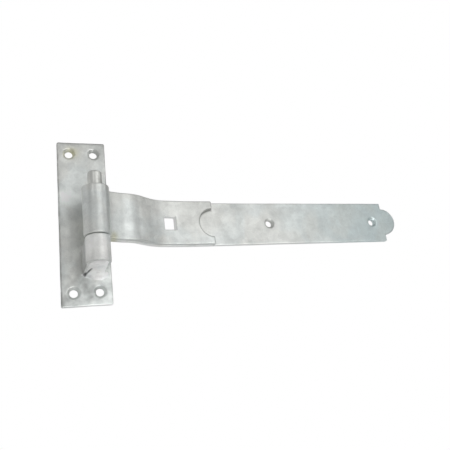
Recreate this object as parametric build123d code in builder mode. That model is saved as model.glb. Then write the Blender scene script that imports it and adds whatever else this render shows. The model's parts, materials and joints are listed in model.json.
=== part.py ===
"""Cranked hook-and-band gate hinge, hot-dip galvanised steel.

Row frame, millimetres: the origin is the centre of the hook plate's back
face, +X runs along the band towards its tip, -Y comes out of the mounting
face towards the user, +Z is up along the hinge pin.
"""

import os
from math import atan2, cos, degrees, hypot, radians, sin, sqrt, tan

from build123d import *

# ---------------------------------------------------------------- dimensions
bar_w = 40.0  # flat bar width, plate and band alike
bar_t = 4.75  # flat bar thickness
edge_r = 0.6  # rolled edge of the bar

# hook plate
plate_h = 143.0
plate_hole_d = 6.6
plate_csk_d = 10.6
plate_hole_x = 20.4  # spacing across
plate_hole_z = 121.5  # spacing up

# hinge pin
pin_x = 6.1  # pin axis, to the right of the plate's centre line
pin_out = 32.5  # pin axis, in front of the plate's front face
pin_d = 11.5
pin_top = 29.2
pin_round = 1.7

# bracket: a strip bent in a U round the pin, legs welded to the plate
strip_t = 3.7
bracket_top = -24.9
bracket_bot = -46.2
bracket_r = 1.2  # rounded upper edge, under the eye
pin_bot = bracket_bot + 0.5

# band: one bar, its end folded round the pin and laid on its own front
run_fit = 0.06  # radial clearance, pin in eye
band_mid_z = -4.5
fold_gap = 0.3  # seam between the two leaves
crease_r = 1.5  # concave corner where the front leaf leaves the eye
eye_heading = 25.0  # direction in which the leaves leave the eye, degrees
front_leaf_end = 104.8  # from the pin axis
notch_r = 13.5
shoulder_x = 288.8  # from the pin axis
tip_r = 13.75
screw_x = (161.7, 275.4)  # from the pin axis
screw_d = 6.3
screw_csk_d = 10.2
front_square = (65.6, -5.4, 12.0)  # X from the pin axis, Z, side
back_square = (65.0, -4.4, 13.0)

# middle line of the back leaf, X and Y from the pin axis, with bend radii
back_leaf = [(10.5, 13.93), (21.0, 17.3), (31.4, 19.1), (51.2, 32.6), (80.0, 34.875)]
back_leaf_r = [20.0, 30.0, 22.0, 38.0, 200.0]

# ----------------------------------------------------------------- derived
half_t = bar_t / 2
plate_front = -bar_t
pin_y = plate_front - pin_out
pin_r = pin_d / 2
eye_r = pin_r + run_fit  # bore of the eye
eye_out = eye_r + bar_t
strip_out = pin_r + strip_t
band_top = band_mid_z + bar_w / 2
band_bot = band_mid_z - bar_w / 2
tip_end = shoulder_x + tip_r

assert band_bot - bracket_top > 0.25

os.makedirs("parts", exist_ok=True)


def at(x, y):
    """A point given from the pin axis, in the row frame."""
    return (pin_x + x, pin_y + y)


def polar(centre, radius, angle):
    return (
        centre[0] + radius * cos(radians(angle)),
        centre[1] + radius * sin(radians(angle)),
    )


def corner_arcs(points, rads):
    """Tangent arcs at the inner corners of a run of straight lines.

    Gives (centre, radius, angle at start, angle at end, side) for each,
    side +1 where the line turns left and -1 where it turns right.
    """
    out = []
    for before, corner, after, r in zip(points, points[1:], points[2:], rads):
        h0 = atan2(corner[1] - before[1], corner[0] - before[0])
        h1 = atan2(after[1] - corner[1], after[0] - corner[0])
        side = 1 if h1 > h0 else -1
        reach = r * tan(abs(h1 - h0) / 2)
        sx, sy = corner[0] - reach * cos(h0), corner[1] - reach * sin(h0)
        centre = (sx - side * r * sin(h0), sy + side * r * cos(h0))
        out.append((centre, r, degrees(h0), degrees(h1), side))
    return out


def leaf_line(offset, start, end_x):
    """One face of a leaf as alternating lines and arcs.

    offset is measured to the left of the middle line; the line leaves start
    and ends level at end_x. Gives the list of (kind, points).
    """
    steps = []
    here = start
    for centre, r, h0, h1, side in arcs:
        rr = r - side * offset
        a0, a1 = h0 - side * 90, h1 - side * 90
        p0 = polar(centre, rr, a0)
        pm = polar(centre, rr, (a0 + a1) / 2)
        p1 = polar(centre, rr, a1)
        steps.append(("line", [here, p0]))
        steps.append(("arc", [p0, pm, p1]))
        here = p1
    steps.append(("line", [here, (end_x, here[1])]))
    return steps


def draw(steps, backwards=False):
    if backwards:
        steps = [(kind, pts[::-1]) for kind, pts in steps[::-1]]
    for kind, pts in steps:
        pts = [at(*p) for p in pts]
        if kind == "line":
            Line(*pts)
        else:
            ThreePointArc(*pts)


def arc_step(centre, radius, a0, a1):
    return (
        "arc",
        [polar(centre, radius, a) for a in (a0, (a0 + a1) / 2, a1)],
    )


# where the leaves leave the eye
h = eye_heading
ahead = (cos(radians(h)), sin(radians(h)))
left = (-ahead[1], ahead[0])
mid_r = eye_r + half_t
eye_start = (mid_r * left[0], mid_r * left[1])
arcs = corner_arcs([eye_start] + back_leaf + [(tip_end, back_leaf[-1][1])], back_leaf_r)

# concave corner: a circle that touches the eye and the front leaf's face
front_face = eye_r - bar_t - fold_gap
crease_v = front_face - crease_r
crease_u = sqrt((eye_out + crease_r) ** 2 - crease_v**2)
crease = (
    crease_u * ahead[0] + crease_v * left[0],
    crease_u * ahead[1] + crease_v * left[1],
)
turn = h + degrees(atan2(crease_v, crease_u)) + 360  # eye angle at the crease

# ------------------------------------------------------------- hook plate
with BuildPart() as hook_plate:
    with BuildSketch(Plane.XZ):
        Rectangle(bar_w, plate_h)
    extrude(amount=bar_t)
    fillet(hook_plate.edges().filter_by(Axis.Y), 1.0)
    fillet(hook_plate.faces().sort_by(Axis.Y)[0].edges(), edge_r)
    with Locations(Plane.XZ.offset(bar_t)):
        with GridLocations(plate_hole_x, plate_hole_z, 2, 2):
            CounterSinkHole(plate_hole_d / 2, plate_csk_d / 2, counter_sink_angle=90)
hook_plate.part.label = "hook_plate"

# ----------------------------------------------------------- hook bracket
with BuildPart() as hook_bracket:
    with BuildSketch(Plane.XY.offset(bracket_bot)):
        with BuildLine():
            Line(at(-strip_out, pin_out), at(-strip_out, 0))
            ThreePointArc(at(-strip_out, 0), at(0, -strip_out), at(strip_out, 0))
            Line(at(strip_out, 0), at(strip_out, pin_out))
            Line(at(strip_out, pin_out), at(pin_r, pin_out))
            Line(at(pin_r, pin_out), at(pin_r, 0))
            ThreePointArc(at(pin_r, 0), at(0, -pin_r), at(-pin_r, 0))
            Line(at(-pin_r, 0), at(-pin_r, pin_out))
            Line(at(-pin_r, pin_out), at(-strip_out, pin_out))
        make_face()
    extrude(amount=bracket_top - bracket_bot)
    for level, r in ((0, edge_r), (-1, bracket_r)):
        outer = [
            e
            for e in hook_bracket.edges().group_by(Axis.Z)[level]
            if e.geom_type == GeomType.CIRCLE
            and abs(e.radius - strip_out) < 0.01
            or e.geom_type == GeomType.LINE
            and abs(abs(e.center().X - pin_x) - strip_out) < 0.01
        ]
        fillet(outer, r)
hook_bracket.part.label = "hook_bracket"

# -------------------------------------------------------------- hinge pin
with BuildPart() as hinge_pin:
    with BuildSketch(Plane.XY.offset(pin_bot)):
        with Locations(at(0, 0)):
            Circle(pin_r)
    extrude(amount=pin_top - pin_bot)
    fillet(hinge_pin.edges().group_by(Axis.Z)[-1], pin_round)
hinge_pin.part.label = "hinge_pin"

# ------------------------------------------------------------------ welds
# bottom: metal run in between the bracket's legs, and a bead under them
with BuildPart() as weld_bottom:
    with BuildSketch(Plane.YZ.offset(pin_x)):
        with BuildLine():
            Polyline(
                (plate_front, bracket_bot + 7.0),
                (pin_y + 4.0, bracket_bot + 5.5),
                (pin_y + 4.0, bracket_bot),
                (plate_front - 14.0, bracket_bot - 0.5),
                (plate_front - 7.5, bracket_bot - 1.2),
                (plate_front - 3.0, bracket_bot - 3.2),
                (plate_front - 0.9, bracket_bot - 5.4),
                (plate_front, bracket_bot - 5.8),
                close=True,
            )
        make_face()
    extrude(amount=pin_r, both=True)
    # the pin's lower end is covered, flush with the bracket's lower edge
    with BuildSketch(Plane.XY.offset(bracket_bot)):
        with Locations(at(0, 0)):
            Circle(pin_r)
        with Locations(at(0, 2.5)):
            Rectangle(2 * pin_r, 5.0)
    extrude(amount=pin_bot - bracket_bot)
    with BuildSketch(Plane.YZ.offset(pin_x - strip_out - 1.2)):
        with BuildLine():
            bead = Spline(
                (plate_front - 6.0, bracket_bot),
                (plate_front - 2.6, bracket_bot - 2.6),
                (plate_front, bracket_bot - 5.6),
            )
            Polyline(bead @ 1, (plate_front, bracket_bot), bead @ 0)
        make_face()
    extrude(amount=2 * strip_out + 3.4)
    add(hook_bracket.part, mode=Mode.SUBTRACT)
    add(hinge_pin.part, mode=Mode.SUBTRACT)
    # crack left open beside the left leg
    with BuildSketch(Plane.XY.offset(bracket_bot - 8)):
        with Locations(at(-4.6, 24.0)):
            Rectangle(0.9, 13.5, rotation=9.0)
    extrude(amount=11.0, mode=Mode.SUBTRACT)
weld_bottom.part.label = "weld_bottom"

# top: one bead along the top of the legs, in the corner with the plate
with BuildPart() as weld_top:
    with BuildSketch(Plane.YZ.offset(pin_x)):
        with BuildLine():
            bead = ThreePointArc(
                (plate_front, bracket_top + 3.0),
                (plate_front - 2.1, bracket_top + 1.7),
                (plate_front - 3.6, bracket_top),
            )
            Polyline(
                bead @ 1,
                (plate_front - 3.6, bracket_top - 2.2),
                (plate_front, bracket_top - 2.8),
                bead @ 0,
            )
        make_face()
    extrude(amount=strip_out + 0.8, both=True)
    add(hook_bracket.part, mode=Mode.SUBTRACT)
weld_top.part.label = "weld_top"

# --------------------------------------------------------------- gate band
with BuildPart() as band:
    with BuildSketch(Plane.XY.offset(band_bot)):
        with BuildLine():
            back = leaf_line(half_t, polar((0, 0), eye_out, h + 90), tip_end)
            inner = leaf_line(-half_t, polar((0, 0), eye_r, h + 90), tip_end)
            lap_start = polar(crease, crease_r + bar_t, h + 90)
            lap = leaf_line(-half_t - fold_gap, lap_start, front_leaf_end)
            face_start = polar(crease, crease_r, h + 90)
            face = leaf_line(-half_t - fold_gap - bar_t, face_start, front_leaf_end)
            draw(back)
            draw([("line", [back[-1][1][1], inner[-1][1][1]])])
            draw(inner, backwards=True)
            draw([arc_step((0, 0), eye_r, h + 90, turn)])
            draw([arc_step(crease, crease_r + bar_t, turn - 180, h + 90)])
            draw(lap)
            draw([("line", [lap[-1][1][1], face[-1][1][1]])])
            draw(face, backwards=True)
            draw([arc_step(crease, crease_r, h + 90, turn - 180)])
            draw([arc_step((0, 0), eye_out, turn, h + 90)])
        make_face()
    extrude(amount=bar_w)
    fillet(
        band.faces().filter_by(Axis.Z).sort_by(Axis.Z)[0].edges()
        + band.faces().filter_by(Axis.Z).sort_by(Axis.Z)[-1].edges(),
        edge_r,
    )
    # square hole for a coach bolt's neck, punched through each leaf
    with BuildSketch(Plane.XZ.offset(-pin_y)):
        with Locations((pin_x + front_square[0], front_square[1])):
            Rectangle(front_square[2], front_square[2])
    extrude(amount=-60, mode=Mode.SUBTRACT)
    with BuildSketch(Plane.XZ.offset(-(pin_y + pin_out - fold_gap / 2 - 0.7))):
        with Locations((pin_x + back_square[0], back_square[1])):
            Rectangle(back_square[2], back_square[2])
    extrude(amount=-60, mode=Mode.SUBTRACT)
    # front leaf's end: the shape that the bar's round tip was cropped out of
    with BuildSketch(Plane.XZ.offset(-pin_y)):
        with Locations((pin_x + front_leaf_end + 0.2, band_mid_z)):
            Circle(notch_r)
    extrude(amount=-(pin_out - fold_gap / 2), mode=Mode.SUBTRACT)
    # tip: half round between two square shoulders
    with BuildSketch(Plane.XZ.offset(-pin_y)):
        with Locations((pin_x + shoulder_x, band_mid_z)):
            Rectangle(2 * tip_r, bar_w + 2, align=(Align.MIN, Align.CENTER))
            Circle(tip_r, mode=Mode.SUBTRACT)
    extrude(amount=-60, mode=Mode.SUBTRACT)
    # countersunk screw holes
    with Locations(Plane.XZ.offset(-(pin_y + pin_out))):
        with Locations(*[(pin_x + x, band_mid_z) for x in screw_x]):
            CounterSinkHole(screw_d / 2, screw_csk_d / 2, depth=20, counter_sink_angle=90)
band.part.label = "gate_band"

for piece in (hook_plate, hook_bracket, hinge_pin, weld_bottom, weld_top, band):
    export_step(piece.part, "parts/" + piece.part.label + ".step")
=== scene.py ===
import json
import math
from itertools import product

import bpy
import numpy as np
from mathutils import Matrix, Vector


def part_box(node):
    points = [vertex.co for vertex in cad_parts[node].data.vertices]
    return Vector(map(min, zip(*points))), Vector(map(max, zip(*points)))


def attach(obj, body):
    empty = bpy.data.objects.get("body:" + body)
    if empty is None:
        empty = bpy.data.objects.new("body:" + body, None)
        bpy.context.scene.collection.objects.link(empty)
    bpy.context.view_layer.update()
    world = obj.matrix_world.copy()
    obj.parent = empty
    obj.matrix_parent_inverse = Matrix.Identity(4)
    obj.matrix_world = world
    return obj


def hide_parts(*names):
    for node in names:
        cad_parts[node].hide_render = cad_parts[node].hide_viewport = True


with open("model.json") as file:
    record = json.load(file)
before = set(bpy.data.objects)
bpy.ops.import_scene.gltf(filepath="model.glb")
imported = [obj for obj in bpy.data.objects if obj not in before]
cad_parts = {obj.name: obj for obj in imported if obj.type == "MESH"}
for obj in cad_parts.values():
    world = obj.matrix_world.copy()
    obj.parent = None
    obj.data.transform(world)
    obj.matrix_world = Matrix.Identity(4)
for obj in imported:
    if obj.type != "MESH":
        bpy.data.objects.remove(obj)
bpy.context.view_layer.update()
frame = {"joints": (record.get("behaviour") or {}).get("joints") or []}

MM = 0.001

# ------------------------------------------------------------------ camera
cam_data = bpy.data.cameras.new("camera")
cam = bpy.data.objects.new("camera", cam_data)
bpy.context.scene.collection.objects.link(cam)
right = Vector((0.93372318, -0.33348807, -0.13017964))
up = Vector((0.00601279, -0.34897428, 0.93711301))
ahead = Vector((0.35794535, 0.87578688, 0.32384018))
cam.matrix_world = Matrix(
    (
        (right.x, up.x, -ahead.x, -0.046896),
        (right.y, up.y, -ahead.y, -0.441942),
        (right.z, up.z, -ahead.z, -0.158911),
        (0, 0, 0, 1),
    )
)
cam_data.sensor_width = 36
cam_data.lens = 43.6648
cam_data.shift_x = -0.01668
cam_data.shift_y = -0.01969
cam_data.clip_start = 0.01
cam_data.clip_end = 50
bpy.context.scene.camera = cam


# ------------------------------------------------------------ shape helpers
TABLES = {}
STILL = [False]  # True while only the smooth shape is wanted


def noise(p, scale, seed):
    """Smooth value noise from -1 to 1 at points p (n, 3), one cell = scale."""
    if STILL[0]:
        return 0.0
    if seed not in TABLES:
        TABLES[seed] = np.random.RandomState(seed).rand(32, 32, 32) * 2 - 1
    t = TABLES[seed]
    q = p / scale + 7.31
    i = np.floor(q).astype(int)
    f = q - i
    f = f * f * f * (f * (f * 6 - 15) + 10)
    out = 0
    for a, b, c in product((0, 1), repeat=3):
        w = (
            (f[..., 0] if a else 1 - f[..., 0])
            * (f[..., 1] if b else 1 - f[..., 1])
            * (f[..., 2] if c else 1 - f[..., 2])
        )
        out = out + w * t[(i[..., 0] + a) % 32, (i[..., 1] + b) % 32, (i[..., 2] + c) % 32]
    return out


def step(x, lo, hi):
    t = np.clip((x - lo) / (hi - lo), 0, 1)
    return t * t * (3 - 2 * t)


def both(a, b, r):
    """Intersection of two distance fields with a rounded edge of radius r."""
    return np.where(
        (a > -r) & (b > -r),
        np.hypot(np.maximum(a + r, 0), np.maximum(b + r, 0)) - r,
        np.maximum(a, b),
    )


def either(a, b, r):
    """Union of two distance fields with a rounded inner corner."""
    return -both(-a, -b, r)


def rect(x, y, hx, hy, r=0.0):
    dx, dy = np.abs(x) - hx + r, np.abs(y) - hy + r
    return np.hypot(np.maximum(dx, 0), np.maximum(dy, 0)) + np.minimum(np.maximum(dx, dy), 0) - r


def graded(lo, hi, coarse, zones, end=0.45):
    """Grid lines over lo to hi, finer in the zones; lo and hi fall mid-cell."""
    a, b = lo + end / 2, hi - end / 2
    lines = [a]
    zones = list(zones) + [(lo, lo + 1.4, end), (hi - 1.4, hi, end)]
    while lines[-1] < b:
        x = lines[-1]
        h = min([coarse] + [fine + 0.3 * max(z0 - x, x - z1, 0) for z0, z1, fine in zones])
        lines.append(x + h)
    lines = a + (np.array(lines) - a) * (b - a) / (lines[-1] - a)
    ends = end * np.arange(1, 3)
    return np.concatenate([a - ends[::-1], lines, b + ends])


def nets(field, X, Y, Z):
    """Surface nets: a closed quad mesh of the zero level of field on a grid."""
    G = np.stack(np.meshgrid(X, Y, Z, indexing="ij"), -1)
    F = field(G.reshape(-1, 3)).reshape(G.shape[:3])
    ins = F < 0
    n = [s - 1 for s in F.shape]
    count = sum(
        ins[a : n[0] + a, b : n[1] + b, c : n[2] + c].astype(np.int8)
        for a, b, c in product((0, 1), repeat=3)
    )
    mixed = (count > 0) & (count < 8)
    index = np.full(mixed.shape, -1)
    index[mixed] = np.arange(mixed.sum())
    I = np.stack(np.nonzero(mixed), -1)
    total, hits = np.zeros((len(I), 3)), np.zeros(len(I))
    for axis in range(3):
        others = [k for k in range(3) if k != axis]
        for a, b in product((0, 1), repeat=2):
            o = np.zeros(3, int)
            o[others[0]], o[others[1]] = a, b
            p = I + o
            q = p.copy()
            q[:, axis] += 1
            fp, fq = F[tuple(p.T)], F[tuple(q.T)]
            m = (fp < 0) != (fq < 0)
            t = fp[m] / (fp[m] - fq[m])
            gp, gq = G[tuple(p[m].T)], G[tuple(q[m].T)]
            total[m] += gp + (gq - gp) * t[:, None]
            hits[m] += 1
    V = total / hits[:, None]
    quads = []
    for axis in range(3):
        b, c = (axis + 1) % 3, (axis + 2) % 3
        lo = [slice(None)] * 3
        hi = [slice(None)] * 3
        lo[axis], hi[axis] = slice(0, -1), slice(1, None)
        s0, s1 = ins[tuple(lo)], ins[tuple(hi)]
        E = np.stack(np.nonzero(s0 != s1), -1)
        E = E[(E[:, b] > 0) & (E[:, b] < n[b]) & (E[:, c] > 0) & (E[:, c] < n[c])]
        corners = []
        for db, dc in ((-1, -1), (0, -1), (0, 0), (-1, 0)):
            e = E.copy()
            e[:, b] += db
            e[:, c] += dc
            corners.append(index[tuple(e.T)])
        Q = np.stack(corners, -1)
        flip = s1[tuple(E.T)]
        Q[flip] = Q[flip][:, ::-1]
        quads.append(Q)
    return V, np.concatenate(quads)


def settle(field, V, quads, relax=7, steps=3, reach=0.3):
    """Moves the vertices on to the zero level and evens out their spacing."""
    edges = np.concatenate([quads[:, [k, (k + 1) % 4]] for k in range(4)])
    degree = np.bincount(edges.ravel(), minlength=len(V)).astype(float)[:, None]

    def slope(P):
        e, g = 0.01, np.empty_like(P)
        STILL[0] = True
        for k in range(3):
            d = np.zeros(3)
            d[k] = e
            g[:, k] = (field(P + d) - field(P - d)) / (2 * e)
        STILL[0] = False
        return g

    def project(P, times):
        for _ in range(times):
            g = slope(P)
            move = field(P)[:, None] * g / np.maximum((g * g).sum(1), 0.05)[:, None]
            size = np.linalg.norm(move, axis=1, keepdims=True)
            P = P - move * np.minimum(1, reach / np.maximum(size, 1e-9))
        return P

    def spread(a):
        out = np.empty((len(V), 3))
        for k in range(3):
            out[:, k] = np.bincount(edges[:, 0], a[edges[:, 1], k], len(V))
            out[:, k] += np.bincount(edges[:, 1], a[edges[:, 0], k], len(V))
        return out / degree

    V = project(V, steps)
    for _ in range(relax):
        d = spread(V) - V
        g = slope(V)
        g /= np.maximum(np.linalg.norm(g, axis=1, keepdims=True), 1e-6)
        V = project(V + 0.6 * (d - (d * g).sum(1, keepdims=True) * g), 1)
    return project(V, 2)


def piece(name, V, quads, material, body, node, attributes=()):
    """Makes a smooth-shaded Blender mesh from points in millimetres."""
    mesh = bpy.data.meshes.new(name)
    mesh.vertices.add(len(V))
    mesh.vertices.foreach_set("co", (V * MM).astype(np.float32).ravel())
    mesh.loops.add(4 * len(quads))
    mesh.loops.foreach_set("vertex_index", quads.astype(np.int32).ravel())
    mesh.polygons.add(len(quads))
    mesh.polygons.foreach_set("loop_start", np.arange(0, 4 * len(quads), 4, dtype=np.int32))
    mesh.polygons.foreach_set("use_smooth", np.ones(len(quads), bool))
    mesh.update(calc_edges=True)
    mesh.validate()
    for key, values in dict(attributes).items():
        a = mesh.attributes.new(key, "FLOAT", "POINT")
        a.data.foreach_set("value", values.astype(np.float32))
    mesh.materials.append(material)
    ob = bpy.data.objects.new(name, mesh)
    bpy.context.scene.collection.objects.link(ob)
    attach(ob, body)
    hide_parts(node)
    return ob


def patches(x, z, spots):
    """Soft marks at listed spots (x, z, half width, half height, strength)."""
    out = 0 * x
    for px, pz, rx, rz, gain in spots:
        wob = 1 + 0.35 * noise(np.stack([x, 0 * x, z], -1), 5.0, 91)
        out = out + gain * np.exp(-((((x - px) / rx) ** 2 + ((z - pz) / rz) ** 2) * wob))
    return out


def box_mm(node):
    lo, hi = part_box(node)
    return np.array(lo) / MM, np.array(hi) / MM


# --------------------------------------------------------------- materials
def galvanised(
    name,
    base,
    cool=(0.975, 0.997, 1.0),
    warm=(1.0, 0.995, 0.98),
    rough=0.40,
    metal=0.65,
    spangle=0.0060,
    spangle_gain=0.035,
    mottle=0.07,
    bump=0.16,
    run=None,
):
    """Hot-dip zinc: soft spangle, mottled tone, faint tints, runs and grain."""
    m = bpy.data.materials.new(name)
    m.use_nodes = True
    nt = m.node_tree
    nt.nodes.clear()
    N, L = nt.nodes, nt.links

    def node(kind, **inputs):
        n = N.new(kind)
        for k, v in inputs.items():
            n.inputs[k].default_value = v
        return n

    def math_(op, a, b=None, clamp=False):
        n = N.new("ShaderNodeMath")
        n.operation = op
        n.use_clamp = clamp
        for i, v in enumerate((a, b)):
            if v is None:
                continue
            if isinstance(v, (int, float)):
                n.inputs[i].default_value = v
            else:
                L.new(v, n.inputs[i])
        return n.outputs[0]

    def span(value, lo, hi, to0, to1):
        n = N.new("ShaderNodeMapRange")
        n.interpolation_type = "SMOOTHSTEP"
        for k, v in zip(("From Min", "From Max", "To Min", "To Max"), (lo, hi, to0, to1)):
            n.inputs[k].default_value = v
        L.new(value, n.inputs["Value"])
        return n.outputs[0]

    out = N.new("ShaderNodeOutputMaterial")
    bsdf = N.new("ShaderNodeBsdfPrincipled")
    bsdf.inputs["Metallic"].default_value = metal
    L.new(bsdf.outputs[0], out.inputs[0])
    co = N.new("ShaderNodeTexCoord").outputs["Object"]

    def mark(key, base_value):
        n = N.new("ShaderNodeAttribute")
        n.attribute_name = key
        return math_("ADD", n.outputs["Fac"], base_value)

    def tex(scale_m, detail=2.0, roughness=0.5, distortion=0.0, stretch=None):
        src = co
        if stretch:
            mp = N.new("ShaderNodeMapping")
            mp.inputs["Scale"].default_value = stretch
            L.new(co, mp.inputs["Vector"])
            src = mp.outputs[0]
        n = N.new("ShaderNodeTexNoise")
        n.inputs["Scale"].default_value = 1 / scale_m
        n.inputs["Detail"].default_value = detail
        n.inputs["Roughness"].default_value = roughness
        n.inputs["Distortion"].default_value = distortion
        L.new(src, n.inputs["Vector"])
        return n.outputs["Fac"]

    # crystals of the zinc: each cell has its own slight brightness
    wob = N.new("ShaderNodeTexNoise")
    wob.inputs["Scale"].default_value = 1 / 0.007
    wob.inputs["Detail"].default_value = 1
    L.new(co, wob.inputs["Vector"])
    shift = N.new("ShaderNodeVectorMath")
    shift.operation = "SCALE"
    shift.inputs["Scale"].default_value = 0.0012
    L.new(wob.outputs["Color"], shift.inputs[0])
    moved = N.new("ShaderNodeVectorMath")
    moved.operation = "ADD"
    L.new(co, moved.inputs[0])
    L.new(shift.outputs[0], moved.inputs[1])
    cells = N.new("ShaderNodeTexVoronoi")
    cells.inputs["Scale"].default_value = 1 / spangle
    L.new(moved.outputs[0], cells.inputs["Vector"])
    sep = N.new("ShaderNodeSeparateColor")
    L.new(cells.outputs["Color"], sep.inputs[0])
    crystal = sep.outputs[0]

    cloud = tex(0.018, 3, 0.55, 0.4)
    blotch = tex(0.0055, 3, 0.6, 0.8)
    grain = tex(0.0009, 3, 0.7)
    tint = tex(0.030, 2, 0.5, 0.6)
    streak = tex(0.010, 3, 0.6, 0.5, stretch=(1.6, 1.6, 0.35))

    # brightness: a product of soft factors round 1
    tone = span(cloud, 0.32, 0.68, 1 - mottle, 1 + mottle * 0.55)
    tone = math_("MULTIPLY", tone, span(blotch, 0.30, 0.70, 1 - mottle * 0.55, 1 + mottle * 0.45))
    tone = math_("MULTIPLY", tone, span(crystal, 0.0, 1.0, 1 - spangle_gain, 1 + spangle_gain * 0.7))
    tone = math_("MULTIPLY", tone, span(streak, 0.35, 0.70, 1 - mottle * 0.35, 1 + mottle * 0.30))
    tone = math_("MULTIPLY", tone, span(grain, 0.30, 0.70, 0.965, 1.03))

    # marks laid down with the mesh: "tone" darkens or lightens, in places as painted light and shade, "stain"
    # yellows
    tone = math_("MULTIPLY", tone, mark("tone", 1.0))

    mix = N.new("ShaderNodeMix")
    mix.data_type = "RGBA"
    L.new(span(tint, 0.38, 0.62, 0.0, 1.0), mix.inputs["Factor"])
    mix.inputs["A"].default_value = (*[b * c for b, c in zip(base, cool)], 1)
    mix.inputs["B"].default_value = (*[b * c for b, c in zip(base, warm)], 1)
    colour = mix.outputs["Result"]
    if run:  # tone that changes slowly along the piece
        x0, x1, c0, c1 = run
        sx = N.new("ShaderNodeSeparateXYZ")
        L.new(co, sx.inputs[0])
        along = N.new("ShaderNodeMix")
        along.data_type = "RGBA"
        along.inputs["A"].default_value = (*c0, 1)
        along.inputs["B"].default_value = (*c1, 1)
        L.new(span(sx.outputs["X"], x0, x1, 0.0, 1.0), along.inputs["Factor"])
        mul = N.new("ShaderNodeMix")
        mul.data_type = "RGBA"
        mul.blend_type = "MULTIPLY"
        mul.inputs["Factor"].default_value = 1.0
        L.new(colour, mul.inputs["A"])
        L.new(along.outputs["Result"], mul.inputs["B"])
        colour = mul.outputs["Result"]
    aged = N.new("ShaderNodeMix")
    aged.data_type = "RGBA"
    aged.blend_type = "MULTIPLY"
    L.new(mark("stain", 0.0), aged.inputs["Factor"])
    L.new(colour, aged.inputs["A"])
    aged.inputs["B"].default_value = (0.88, 0.84, 0.62, 1)
    colour = aged.outputs["Result"]
    shade = N.new("ShaderNodeVectorMath")
    shade.operation = "SCALE"
    L.new(colour, shade.inputs[0])
    L.new(tone, shade.inputs["Scale"])
    L.new(shade.outputs[0], bsdf.inputs["Base Color"])

    r = span(cloud, 0.30, 0.70, rough + 0.07, rough - 0.05)
    r = math_("ADD", r, span(crystal, 0.0, 1.0, 0.04, -0.04))
    r = math_("ADD", r, span(grain, 0.3, 0.7, 0.03, -0.03), clamp=True)
    L.new(r, bsdf.inputs["Roughness"])

    height = math_("MULTIPLY", span(blotch, 0.25, 0.75, 0.0, 1.0), 0.6)
    height = math_("ADD", height, math_("MULTIPLY", grain, 0.35))
    height = math_("ADD", height, math_("MULTIPLY", crystal, 0.10))
    b = N.new("ShaderNodeBump")
    b.inputs["Strength"].default_value = bump
    b.inputs["Distance"].default_value = 0.00025
    L.new(height, b.inputs["Height"])
    L.new(b.outputs[0], bsdf.inputs["Normal"])
    return m


mat_plate = galvanised("zinc_plate", (0.775, 0.79, 0.77))
mat_bracket = galvanised("zinc_bracket", (0.90, 0.91, 0.90), rough=0.46, metal=0.55, mottle=0.07)
mat_pin = galvanised("zinc_pin", (0.765, 0.78, 0.755), rough=0.40, mottle=0.06, spangle=0.003, bump=0.10)
mat_weld = galvanised("zinc_weld", (0.99, 0.99, 0.99), rough=0.45, metal=0.3, bump=0.35, mottle=0.06)
mat_band = galvanised(
    "zinc_band",
    (0.755, 0.77, 0.76),
    rough=0.43,
    run=(0.15, 0.30, (1.0, 1.0, 0.99), (0.835, 0.915, 0.93)),
)

# ------------------------------------------------ where things are, from CAD
joint = next(j for j in frame["joints"] if j["name"] == "band_swing")
PX, PY = joint["pos_m"][0] / MM, joint["pos_m"][1] / MM
plate_lo, plate_hi = box_mm("hook_plate")
pin_lo, pin_hi = box_mm("hinge_pin")
bracket_lo, bracket_hi = box_mm("hook_bracket")
band_lo, band_hi = box_mm("gate_band")
fill_lo, fill_hi = box_mm("weld_bottom")
bead_lo, bead_hi = box_mm("weld_top")
PIN_R = (pin_hi[0] - pin_lo[0]) / 2
FRONT = plate_lo[1]
BAR = plate_hi[1] - plate_lo[1]
HALF = BAR / 2

# -------------------------------------------------------------- hook plate
plate_cx = (plate_lo[0] + plate_hi[0]) / 2
plate_cz = (plate_lo[2] + plate_hi[2]) / 2
plate_hx = (plate_hi[0] - plate_lo[0]) / 2
plate_hz = (plate_hi[2] - plate_lo[2]) / 2
HOLES = [(sx * 10.2, sz * 60.75) for sx in (-1, 1) for sz in (-1, 1)]


def plate_field(p):
    x, y, z = p[:, 0] - plate_cx, p[:, 1], p[:, 2] - plate_cz
    wave = 0.05 + 0.07 * noise(p, 11.0, 3) + 0.04 * noise(p, 4.0, 4)
    outline = rect(x, z, plate_hx, plate_hz, 1.4) + wave
    low = noise(p, 17.0, 11) * 0.06 + noise(p, 6.0, 12) * 0.035 + noise(p, 2.4, 13) * 0.010
    front = FRONT - y + 0.05 - low
    back = y - plate_hi[1] + 0.01
    d = both(outline, front, 0.9)
    d = both(d, back, 0.6)
    for hx, hz in HOLES:
        rad = np.hypot(x - hx, z - hz)
        hole = rad - np.maximum(3.3, 5.25 - (y - FRONT) * 0.98)
        d = both(d, -hole + 0.02, 0.22)
    return d


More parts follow.
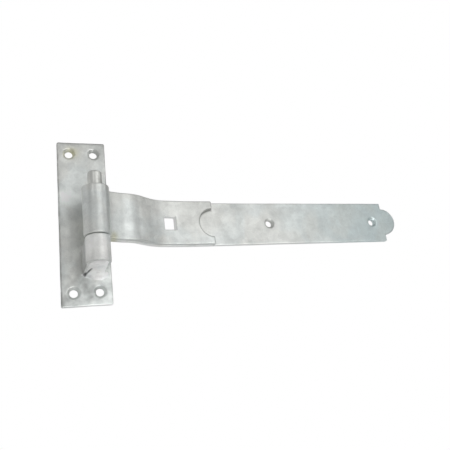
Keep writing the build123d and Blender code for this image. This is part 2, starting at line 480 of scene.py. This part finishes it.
X = graded(plate_lo[0], plate_hi[0], 0.72, [(-15.8, -4.6, 0.5), (4.6, 15.8, 0.5)])
Y = graded(plate_lo[1], plate_hi[1], 0.475, [], 0.475)
Z = graded(plate_lo[2], plate_hi[2], 0.8, [(-66.4, -55.0, 0.5), (55.0, 66.4, 0.5)])
V, Q = nets(plate_field, X, Y, Z)
V = settle(plate_field, V, Q)
V = np.clip(V, plate_lo, plate_hi)
# partly painted light and shade: the knuckle's painted shadow on the plate to its left, a painted lit patch
# above it, a lighter top and lower middle, a darker top right and top edge; the other spots lighten the lower
# right and darken between the lower holes
tone = patches(
    V[:, 0],
    V[:, 2],
    [
        (-7, 42, 13, 20, 0.14),
        (-12, 20, 11, 8, 0.42),
        (-17, 8, 4, 8, 0.14),
        (-7, -27, 8, 8, 0.16),
        (12, -48, 10, 6, 0.12),
        (17, -66, 5, 9, 0.15),
        (5, -70, 9, 2.5, 0.18),
        (2.5, -58.5, 5.5, 5, -0.30),
        (-4, -54, 4, 2.5, -0.14),
        (1, -66, 4, 3, -0.20),
        (2, -71, 20, 1.6, 0.20),
        (-16, -67, 4, 6, -0.12),
        (-12, -69, 7, 2, 0.18),
        (9, -47, 9, 3, 0.08),
        (14, 62, 7, 6, -0.19),
        (2, 71, 22, 2.2, -0.20),
        (-4, 10, 4.5, 7, -0.22),
        (-12, 3, 5, 8, -0.06),
        (-17, -60, 3, 14, -0.06),
    ],
)
# painted shade: darker, slightly ragged towards the rim
rim = -rect(V[:, 0] - plate_cx, V[:, 2] - plate_cz, plate_hx, plate_hz, 1.4)
ragged = 1 + 0.5 * noise(V, 3.0, 92) + 0.3 * noise(V, 9.0, 93)
tone = tone - (0.24 * np.exp(-((rim / 0.8) ** 2)) * step(V[:, 2], -70.5, -66) + 0.10 * np.exp(-((rim / 2.6) ** 2)) * (1 - step(V[:, 0], -5, 15))) * ragged
# zinc splashes below the weld, with broken edges
splash = noise(V, 4.5, 96) + 0.6 * noise(V, 2.0, 97)
tone = tone + 0.13 * splash * step(V[:, 2], -42, -50) + 0.035 * splash
# painted light: the bar's lower end is bright
tone = tone + 0.40 * step(V[:, 2], plate_cz - plate_hz + 0.6, plate_cz - plate_hz + 0.2)
stain = patches(V[:, 0], V[:, 2], [(-7.6, 62.2, 4.6, 4.6, 1.0)])
piece("plate", V, Q, mat_plate, "hook", "hook_plate", {"tone": tone, "stain": stain})
print("plate", len(V), len(Q))

# --------------------------------------------------------- bracket and pin
# The bracket is a flat strip, shaped flat and bent in a U round the pin: u
# runs from the plate along one leg, round the pin and back along the other.
STRIP = (bracket_hi[0] - bracket_lo[0]) / 2 - PIN_R
BEND = PIN_R + STRIP / 2
LEG = FRONT - PY + 0.3
ARC = math.pi * BEND


def bend_strip(P):
    u, t, z = P.T
    a = np.clip((u - LEG) / BEND, 0, math.pi)
    r = BEND + t
    straight = np.where(u < LEG, LEG - u, np.maximum(u - LEG - ARC, 0))
    x = -r * np.cos(a)
    y = straight - r * np.sin(a)
    return np.stack([PX + x, PY + y, z], -1)


def crack(x, y, z):
    """The crack left open beside the left leg, seen from below."""
    ca, sa = math.cos(math.radians(14)), math.sin(math.radians(14))
    u = (x + 5.9) * ca + (y - 22.8) * sa
    v = -(x + 5.9) * sa + (y - 22.8) * ca
    wander = noise(np.stack([0 * y, y, 0 * y], -1), 3.4, 46) * 0.22
    return np.maximum(rect(u + wander, v, 0.50 + 0.22 * step(v, -6, 5), 9.2, 0.45), z - (bracket_lo[2] + 3.2))


def strip_field(p):
    u, t, z = p.T
    q = np.stack([u, np.sign(t) * 30, z], -1)
    low = noise(q, 9.0, 21) * 0.07 + noise(q, 3.6, 22) * 0.035 + noise(q, 1.7, 23) * 0.012
    outer = t - STRIP / 2 + 0.06 - low
    inner = -t - STRIP / 2 + 0.02
    top = z - bracket_hi[2] + 0.05 - low * 0.3
    bottom = bracket_lo[2] - z + 0.06 - low
    d = both(outer, top, 1.25)
    d = both(d, bottom, 1.0)
    d = both(d, inner, 0.3)
    w = bend_strip(p)
    d = both(d, -np.where(u < LEG, crack(w[:, 0] - PX, w[:, 1] - PY, z), 9.0), 0.3)
    return np.maximum(d, np.maximum(-u, u - 2 * LEG - ARC))


U = graded(0, 2 * LEG + ARC, 0.56, [(LEG - 2, LEG + ARC + 2, 0.5)])
T = graded(-STRIP / 2, STRIP / 2, 0.37, [], 0.37)
Z = graded(bracket_lo[2], bracket_hi[2], 0.6, [], 0.42)
V, Q = nets(strip_field, U, T, Z)
V = bend_strip(settle(strip_field, V, Q))
V = np.clip(V, [bracket_lo[0], bracket_lo[1], bracket_lo[2]], [bracket_hi[0], FRONT + 0.3, bracket_hi[2]])
# darker along the lower edge; painted highlight streaks down the front, painted shade on its right side, a
# small darker spot near the bottom
low_edge = np.exp(-(((V[:, 2] - bracket_lo[2]) / 0.9) ** 2))
tone = -0.20 * low_edge * (0.8 + 0.5 * noise(V, 4.0, 94)) + patches(V[:, 0] - PX, V[:, 2], [(-5.5, -34, 2.6, 8, 0.10), (4.2, -33, 1.3, 8, 0.10), (9.5, -35, 3.0, 9, -0.12), (-1.0, -42, 3.5, 3.5, -0.08)])
# painted shade on the left leg
tone = tone - 0.30 * (V[:, 0] < PX - 8.6) * step(V[:, 1], PY + 0, PY + 5)
piece("bracket", V, Q, mat_bracket, "hook", "hook_bracket", {"tone": tone})
print("bracket", len(V), len(Q))

# The pin is a square bar on the grid, mapped to a round one.
Z = graded(pin_lo[2], pin_hi[2], 1.1, [(14.0, 31.0, 0.42)], 0.42)
A = graded(-1.0, 1.0, 0.085, [], 0.085)
V, Q = nets(lambda p: np.maximum(rect(p[:, 0], p[:, 1], 1, 1), rect(p[:, 2] - (pin_lo[2] + pin_hi[2]) / 2, 0 * p[:, 2], (pin_hi[2] - pin_lo[2]) / 2, 1)), A, A, Z)
a, b, z = np.clip(V[:, 0], -1, 1), np.clip(V[:, 1], -1, 1), np.clip(V[:, 2], pin_lo[2], pin_hi[2])
cx, cy = a * np.sqrt(1 - b * b / 2), b * np.sqrt(1 - a * a / 2)
rho = np.hypot(cx, cy)
drop = pin_hi[2] - z  # depth below the top
ROUND = 1.9
# the top edge: squeeze the last rings inwards along a quarter circle
side_in = np.where(drop < ROUND, ROUND - np.sqrt(np.maximum(ROUND**2 - (ROUND - drop) ** 2, 0)), 0)
bare = step(z, band_hi[2] - 1.0, band_hi[2] + 2.5)
ang = np.stack([cx / np.maximum(rho, 1e-6) * 4, cy / np.maximum(rho, 1e-6) * 4, z], -1)
swell = (noise(ang, 7.0, 31) * 0.07 + noise(ang, 3.0, 32) * 0.035) * bare
wall = PIN_R - 0.03 - 0.09 * bare + swell
rad = rho * (wall - side_in)
x, y = cx / np.maximum(rho, 1e-6) * rad, cy / np.maximum(rho, 1e-6) * rad
dome = 0.10 + 0.030 * (x + 2.0) + 0.016 * (x * x + y * y) + 0.10 * noise(np.stack([x, y, z], -1), 2.6, 33)
z = z - np.where(drop < 3.0, np.maximum(dome, 0.02) * step(drop, 3.0, 0.0), 0)
V = np.stack([PX + x, PY + y, z], -1)
# painted highlight down the front right of the pin, painted shade on its front left
tone = patches(V[:, 0] - PX, V[:, 2], [(2.3, 31, 1.1, 9, 0.34), (-5.0, 30, 2.2, 9, -0.14)]) * (V[:, 1] < PY + 1)
piece("pin", V, Q, mat_pin, "hook", "hinge_pin", {"tone": tone})
print("pin", len(V), len(Q))

# -------------------------------------------------------------------- welds
UNDER = bracket_lo[2]
DEPTH = FRONT - PY  # pin axis to the plate's front face


def weld_bottom_field(p):
    x, y, z = p[:, 0] - PX, p[:, 1] - PY, p[:, 2]
    away = DEPTH - y  # from the plate's front face
    lump = noise(p, 4.2, 41) * 0.36 + noise(p, 2.1, 42) * 0.20 + noise(p, 1.1, 43) * 0.05
    # metal between the legs and over the pin's end, nearly flush below
    plan = np.where(y > 0, np.abs(x), np.hypot(x, y))
    sag = 0.34 + 0.5 * step(away, 13.0, 5.0) + 0.2 * step(x, -4.0, 3.0) * step(y, 2, 9)
    fill = both((UNDER - sag) - z - lump * 0.7 * (0.4 + 0.6 * step(y, 2, 9)), plan - PIN_R - 1.5, 0.7)
    behind = step(y, 6.0, 6.8) * (1 - step(plan, PIN_R - 0.5, PIN_R))
    fill = np.maximum(fill, z - (UNDER + 0.42 + 6.0 * behind))
    # run of weld under the legs, feathered out down the plate and to the right
    wide = step(x, -11.0, 6.0)
    feather = np.clip(1 - np.abs((x - 0.5) / 11.4) ** 3, 0, 1)
    reach = (2.6 + 3.0 * wide + noise(p * [1, 0, 0], 5.0, 44) * 0.5) * feather ** 0.6
    drop = (2.2 + 3.5 * wide + noise(p * [1, 0, 0], 4.2, 45) * 0.5) * (0.35 + 0.65 * feather)
    left = np.clip(1 - np.maximum(UNDER - z, 0) / drop, 0, 1)
    bead = (away - reach * left ** 1.6 + 0.14 - lump * 0.6 * left ** 0.5) * 0.75
    bead = both(bead, z - (UNDER + 0.7), 0.3)
    d = either(fill, bead, 2.4)
    d = np.maximum(d, (UNDER - 5.6) - z)
    d = both(d, -crack(x, y, z), 0.35)
    d = np.maximum(d, y - DEPTH - 0.3)
    return np.maximum(d, np.abs(x - 0.5) - 11.1)


X = np.arange(PX - 13.0, PX + 13.8, 0.36)
Y = np.arange(PY - 8.0, FRONT + 1.2, 0.40)
Z = np.arange(UNDER - 6.5, UNDER + 7.4, 0.36)
V, Q = nets(weld_bottom_field, X, Y, Z)
V = settle(weld_bottom_field, V, Q)
wx, wy = V[:, 0] - PX, V[:, 1] - PY
plan = np.where(wy > 0, np.abs(wx), np.hypot(wx, wy))
# painted shade in the crack, and a darker line round the foot of the collar; then mottling, lighter on the
# right and darker in places
tone = -0.20 * np.exp(-(((plan - PIN_R - 1.6) / 0.55) ** 2)) * (wy < 8) * step(wx, 5, 1) - 0.5 * np.exp(-(np.maximum(crack(wx, wy, V[:, 2] * 0 - 60), 0) / 0.5) ** 2)
tone = tone + 0.07 * noise(V, 3.0, 95) + 0.05 * noise(V, 1.5, 99) - 0.10 * step(V[:, 1], -10, -7) * step(wx, 4, -2) + 0.09 * step(wx, 3, 6) - 0.10 * step(V[:, 1], -8, -5.5)
piece("weld_under", V, Q, mat_weld, "hook", "weld_bottom", {"tone": tone})
print("weld_bottom", len(V), len(Q), V.min(0) - fill_lo, V.max(0) - fill_hi)

TOP = bracket_hi[2]


def weld_top_field(p):
    x, y, z = p[:, 0] - PX, p[:, 1] - PY, p[:, 2]
    away = DEPTH - y
    # ripples left by the pool as it moved along the corner
    phase = x / 1.7 + 0.5 * np.sqrt(np.maximum(away, 0) + 0.3) + noise(p, 6.0, 52) * 0.5
    ripple = 0.10 * np.cos(2 * math.pi * phase) + noise(p, 2.6, 51) * 0.12
    rad = np.hypot(away / 3.5, np.maximum(z - TOP, 0) / 2.9) - 1
    d = rad * 2.6 - ripple
    d = both(d, np.abs(x) - (bead_hi[0] - bead_lo[0]) / 2 + 0.15 - ripple, 1.5)
    d = both(d, (TOP - 2.6) - z - ripple, 0.8)
    return np.maximum(d, y - DEPTH - 0.3)


X = np.arange(bead_lo[0] - 1.0, bead_hi[0] + 1.0, 0.34)
Y = np.arange(FRONT - 5.0, FRONT + 1.0, 0.32)
Z = np.arange(bead_lo[2] - 1.0, bead_hi[2] + 1.2, 0.32)
V, Q = nets(weld_top_field, X, Y, Z)
V = settle(weld_top_field, V, Q)
piece("weld_over", V, Q, mat_weld, "hook", "weld_top", {"tone": V[:, 0] * 0 - 0.25})
print("weld_top", len(V), len(Q), V.min(0) - bead_lo, V.max(0) - bead_hi)

# --------------------------------------------------------------- gate band
# One flat bar, shaped flat and then bent along this middle line. u runs along
# the bar from the front leaf's end round the eye to the tip, t through its
# thickness, outwards on the eye. Millimetres from the pin axis.
EYE = PIN_R + 0.06
SEAM = 0.3
CREASE = 1.5
HEADING = 25.0
BACK = [(10.5, 13.93), (21.0, 17.3), (31.4, 19.1), (51.2, 32.6), (80.0, 34.875)]
BACK_R = [20.0, 30.0, 22.0, 38.0, 200.0]
LEAF_END = 104.8
SHOULDER = 288.8
TIP = 302.55


def polar(c, r, a):
    return (c[0] + r * math.cos(math.radians(a)), c[1] + r * math.sin(math.radians(a)))


def corner_arcs(points, rads):
    out = []
    for a, b, c, r in zip(points, points[1:], points[2:], rads):
        h0 = math.atan2(b[1] - a[1], b[0] - a[0])
        h1 = math.atan2(c[1] - b[1], c[0] - b[0])
        side = 1 if h1 > h0 else -1
        reach = r * math.tan(abs(h1 - h0) / 2)
        sx, sy = b[0] - reach * math.cos(h0), b[1] - reach * math.sin(h0)
        centre = (sx - side * r * math.sin(h0), sy + side * r * math.cos(h0))
        out.append((centre, r, math.degrees(h0), math.degrees(h1), side))
    return out


def leaf(offset, start, end_x, arcs):
    path, here = [], start
    for centre, r, h0, h1, side in arcs:
        rr = r - side * offset
        a0, a1 = h0 - side * 90, h1 - side * 90
        path.append(("line", here, polar(centre, rr, a0)))
        path.append(("arc", centre, rr, a0, a1))
        here = polar(centre, rr, a1)
    path.append(("line", here, (end_x, here[1])))
    return path


mid = EYE + HALF
start = polar((0, 0), mid, HEADING + 90)
arcs = corner_arcs([start] + BACK + [(TIP, BACK[-1][1])], BACK_R)
dirx, diry = math.cos(math.radians(HEADING)), math.sin(math.radians(HEADING))
face_v = EYE - BAR - SEAM
cv = face_v - CREASE
cu = math.sqrt((EYE + BAR + CREASE) ** 2 - cv * cv)
crease = (cu * dirx - cv * diry, cu * diry + cv * dirx)
turn = HEADING + math.degrees(math.atan2(cv, cu)) + 360
inner = leaf(-(BAR + SEAM), polar(crease, CREASE + HALF, HEADING + 90), LEAF_END, arcs)


def reverse(path):
    return [
        ("line", s[2], s[1]) if s[0] == "line" else ("arc", s[1], s[2], s[4], s[3])
        for s in path[::-1]
    ]


route = (
    reverse(inner)
    + [("arc", crease, CREASE + HALF, HEADING + 90, turn - 180)]
    + [("arc", (0, 0), mid, turn, HEADING + 90)]
    + leaf(0.0, start, TIP, arcs)
)
us, xs, ys, hs, length = [], [], [], [], 0.0
marks = []
for s in route:
    if s[0] == "line":
        (x0, y0), (x1, y1) = s[1], s[2]
        n = 2
        size = math.hypot(x1 - x0, y1 - y0)
        h = math.atan2(y1 - y0, x1 - x0)
        pts = [(x0, y0, h), (x1, y1, h)]
    else:
        c, r, a0, a1 = s[1:]
        n = max(8, int(abs(a1 - a0) * 4))
        size = abs(math.radians(a1 - a0)) * r
        turnside = 90 if a1 > a0 else -90
        pts = [
            (*polar(c, r, a0 + (a1 - a0) * k / n), math.radians(a0 + (a1 - a0) * k / n + turnside))
            for k in range(n + 1)
        ]
    for k, (x, y, h) in enumerate(pts):
        us.append(length + size * k / (len(pts) - 1) + k * 1e-7)
        xs.append(x)
        ys.append(y)
        hs.append(h)
    length += size
    marks.append(length)
us, xs, ys = np.array(us), np.array(xs), np.array(ys)
hs = np.unwrap(np.array(hs))
U_FRONT = marks[len(inner) - 1]  # where the front leaf meets the crease
U_EYE = marks[len(inner) + 1]  # where the eye ends and the back leaf starts
lead = us < U_FRONT
tail = us > U_EYE


def u_front(x):
    return float(np.interp(x, xs[lead][::-1], us[lead][::-1]))


def u_back(x):
    return float(np.interp(x, xs[tail], us[tail]))


def bend(P):
    """Points (u, t, z) of the flat bar to the row frame."""
    x, y, h = (np.interp(P[:, 0], us, a) for a in (xs, ys, hs))
    over = np.maximum(P[:, 0] - us[-1], 0) - np.maximum(-P[:, 0], 0)
    x = x + over * np.cos(h) - P[:, 1] * np.sin(h)
    y = y + over * np.sin(h) + P[:, 1] * np.cos(h)
    return np.stack([PX + x, PY + y, P[:, 2]], -1)


band_cz = (band_lo[2] + band_hi[2]) / 2
band_hz = (band_hi[2] - band_lo[2]) / 2
u_sq_f, u_sq_b = u_front(65.0), u_back(64.7)
u_lap = u_back(LEAF_END)
u_screw = [u_back(161.7), u_back(275.4)]
u_sh, u_tip = u_back(SHOULDER), u_back(TIP)
print("bar length", round(length, 2), "eye from", round(U_FRONT, 1), "to", round(U_EYE, 1))


def band_field(p):
    u, t, z = p[:, 0], p[:, 1], p[:, 2]
    zz = z - band_cz
    q = np.stack([u, t * 0 + np.sign(t) * 40, z], -1)
    side = np.abs(zz) - band_hz + 0.05 + 0.07 * noise(q, 12.0, 61) + 0.03 * noise(q, 3.5, 62)
    # front leaf's end, with the scallop
    end = -u + 0.05 + 0.05 * noise(q, 3.0, 63)
    scallop = np.hypot(u + 0.5, zz + 0.1) - 13.05
    d2 = both(side, end, 0.9)
    d2 = both(d2, -scallop, 0.8)
    # half-round tip between square shoulders
    edge = 0.12 * noise(q, 5.0, 64)
    square = u - u_sh
    lobe = np.hypot(u - (u_sh + 0.25), zz - 0.4) - 13.4 + edge
    far = either(square, lobe, 0.5)
    d2 = both(d2, far, 0.9)
    # faces, thicker or thinner by a little where the zinc has run
    open_ = 1 - step(u, u_lap - 8, u_lap - 1)
    shown = np.where(t > 0, 1.0, 1 - open_)
    low = noise(q, 16.0, 65) * 0.07 + noise(q, 5.0, 66) * 0.035 + noise(q, 1.9, 67) * 0.013
    face = np.abs(t) - HALF + 0.05 - low * shown
    d = both(d2, face, 0.95)
    # punched square holes
    a = rect(u - u_sq_f, z + 5.4, 5.4, 6.0, 0.6)
    b = rect(u - u_sq_b, z + 4.4, 6.2, 6.5, 0.7)
    d = both(d, -a, 0.3)
    d = both(d, -b, 0.3)
    # countersunk screw holes, open side on the front (t < 0 here)
    for us_ in u_screw:
        rad = np.hypot(u - us_, zz)
        hole = rad - np.maximum(3.15, 5.1 - (t + HALF) * 1.0)
        d = both(d, -hole, 0.25)
    return d


U = graded(
    0.0,
    u_tip,
    0.95,
    [
        (0, 15.5, 0.5),
        (u_sq_f - 7.5, u_sq_f + 7.5, 0.5),
        (U_FRONT - 1, U_EYE + 1, 0.55),
        (u_sq_b - 7.8, u_sq_b + 7.8, 0.5),
        (u_lap - 14, u_lap + 1.5, 0.5),
        (u_screw[0] - 6, u_screw[0] + 6, 0.5),
        (u_screw[1] - 6, u_tip + 1, 0.5),
    ],
)
T = graded(-HALF, HALF, 0.475, [], 0.475)
Z = graded(band_lo[2], band_hi[2], 0.95, [(-12.0, 3.0, 0.55)])
V, Q = nets(band_field, U, T, Z)
V = settle(band_field, V, Q)
W = bend(V)
# the bore stays clear of the pin
rad = np.hypot(W[:, 0] - PX, W[:, 1] - PY)
near = (rad < EYE + 1.0)
scale = np.where(near, np.maximum(rad, EYE + 0.03) / rad, 1.0)
W[:, 0] = PX + (W[:, 0] - PX) * scale
W[:, 1] = PY + (W[:, 1] - PY) * scale
W = np.clip(W, band_lo, band_hi)
# painted shade in the corner where the scalloped end lies on the bar
lap_x, lap_z = V[:, 0] - u_lap, V[:, 2] - band_cz
notch = np.maximum(lap_x, 13.05 - np.hypot(lap_x - 0.5, lap_z + 0.1))
edge_shade = np.exp(-((np.maximum(notch - 0.15, 0) / 0.90) ** 2)) * (V[:, 1] < -HALF + 0.6) * (np.abs(lap_x + 7) < 9) * (notch > -1.5)
# painted shade the same way round the punched square, on the front face
square = rect(V[:, 0] - u_sq_f, V[:, 2] + 5.4, 5.4, 6.0, 0.6)
edge_shade = edge_shade + 0.35 * np.exp(-((np.maximum(square, 0) / 0.6) ** 2)) * (V[:, 1] > 0) * (V[:, 0] < U_FRONT) * (square > 0.12) * (square < 3)
# and painted shade along the front edge of the leaf's own cut end
end_gap = np.maximum(13.05 - np.hypot(V[:, 0] + 0.5, lap_z + 0.1), -V[:, 0])
edge_shade = edge_shade + 0.70 * np.exp(-((np.minimum(end_gap, 0) / 0.75) ** 2)) * (V[:, 0] < 16) * (V[:, 1] > 0)
# the punched walls are bare and brighter
back_square = rect(V[:, 0] - u_sq_b, V[:, 2] + 4.4, 6.2, 6.5, 0.6)
punched = ((square < 0.12) & (V[:, 0] < U_FRONT)) | ((back_square < 0.12) & (V[:, 0] > U_EYE))
front_side = (V[:, 1] > 0) & (V[:, 0] < U_FRONT)
across = W[:, 0] - PX
# painted highlights: lighter patches on the front leaf near the eye and further along it
tone = 0.42 * punched - 0.62 * edge_shade + front_side * patches(across, W[:, 2], [(26.5, 6, 4.5, 9, 0.16), (26.0, -14, 4.5, 9, 0.20), (18, -4, 4, 22, 0.12), (73, 6, 16, 9, 0.10)])
tone = tone - 0.08 * patches(across, W[:, 2], [(130, 9, 26, 6, 1.0)]) * (V[:, 1] < 0)
# painted light along the lower edge, strong on the back leaf, faint on the front
tone = tone + np.where(V[:, 0] > U_EYE, 0.42, 0.06) * np.exp(-(((W[:, 2] - band_lo[2]) / 0.5) ** 2)) * step(across, 14, 22)
tone = tone + 0.045 * (noise(V, 7.0, 100) + 0.6 * noise(V * np.array([0.5, 1, 1.6]), 3.0, 101))
stain = np.exp(-(((across - 13.5) / 3.0) ** 2)) * step(W[:, 2], band_lo[2] + 8, band_lo[2] + 2) * 0.7
piece("band", W, Q, mat_band, "band", "gate_band", {"tone": tone, "stain": stain})
print("band", len(W), len(Q))

# ------------------------------------------------------------------ studio
world = bpy.data.worlds.new("studio")
bpy.context.scene.world = world
world.use_nodes = True
wt = world.node_tree
wt.nodes.clear()
bg = wt.nodes.new("ShaderNodeBackground")
wo = wt.nodes.new("ShaderNodeOutputWorld")
wt.links.new(bg.outputs[0], wo.inputs[0])
wc = wt.nodes.new("ShaderNodeTexCoord")
# the surround is light behind the part and to its left, and dim in front
wd = wt.nodes.new("ShaderNodeVectorMath")
wd.operation = "DOT_PRODUCT"
wd.inputs[1].default_value = (-0.50, 0.866, 0.0)
wt.links.new(wc.outputs["Generated"], wd.inputs[0])
wm = wt.nodes.new("ShaderNodeMapRange")
wm.interpolation_type = "SMOOTHSTEP"
wm.inputs["From Min"].default_value = -0.45
wm.inputs["From Max"].default_value = 0.55
wm.inputs["To Min"].default_value = 0.08
wm.inputs["To Max"].default_value = 0.58
wt.links.new(wd.outputs["Value"], wm.inputs["Value"])
# and plain white as a backdrop
wp = wt.nodes.new("ShaderNodeLightPath")
wb = wt.nodes.new("ShaderNodeMix")
wb.data_type = "FLOAT"
wt.links.new(wp.outputs["Is Camera Ray"], wb.inputs[0])
wt.links.new(wm.outputs[0], wb.inputs[2])
wb.inputs[3].default_value = 1.0
wt.links.new(wb.outputs[0], bg.inputs["Strength"])
bg.inputs["Color"].default_value = (1, 1, 1, 1)

centre = Vector((0.13, -0.02, 0.0))


def softbox(name, az, el, size, power, dist):
    a, e = math.radians(az), math.radians(el)
    d = Vector((math.sin(a) * math.cos(e), -math.cos(a) * math.cos(e), math.sin(e)))
    data = bpy.data.lights.new(name, "AREA")
    data.shape = "DISK"
    data.size = size
    data.energy = power
    ob = bpy.data.objects.new(name, data)
    ob.location = centre + d * dist
    ob.rotation_mode = "QUATERNION"
    ob.rotation_quaternion = (-d).to_track_quat("-Z", "Y")
    bpy.context.scene.collection.objects.link(ob)
    ob.visible_camera = False
    return ob


PANELS = (
    # azimuth right of the front, elevation, watts
    (0, -50, 0.80), (14, -30, 1.78), (28, -30, 0.89),
    (-36, -15, 0.96), (12, -15, 0.49), (24, -15, 1.44), (36, -15, 0.42),
    (12, 0, 0.35), (24, 0, 0.80), (36, 0, 0.31),
    (-36, 15, 0.52), (0, 15, 0.35), (12, 15, 0.58), (24, 15, 0.32), (36, 15, 0.13), (72, 15, 0.65),
    (-28, 30, 0.46), (0, 30, 0.33), (14, 30, 0.31), (28, 30, 0.41), (42, 30, 0.31), (70, 30, 0.44),
    (-36, 45, 0.60), (36, 45, 0.62),
)
for k, (az, el, watts) in enumerate(PANELS):
    softbox(f"panel_{k}", az, el, 0.38, watts, 0.6 if el < -40 else 1.4)

floor = bpy.data.meshes.new("floor")
ring = [(0.12 + 1.0 * math.cos(2 * math.pi * k / 64), -0.02 + 1.0 * math.sin(2 * math.pi * k / 64), -0.55) for k in range(64)]
floor.from_pydata(ring, [], [list(range(64))])
floor_ob = bpy.data.objects.new("floor", floor)
bpy.context.scene.collection.objects.link(floor_ob)
fm = bpy.data.materials.new("floor_pale")
fm.use_nodes = True
fm.node_tree.nodes["Principled BSDF"].inputs["Base Color"].default_value = (0.86, 0.86, 0.86, 1)
fm.node_tree.nodes["Principled BSDF"].inputs["Roughness"].default_value = 0.9
floor.materials.append(fm)

bpy.context.scene.view_settings.view_transform = "Standard"
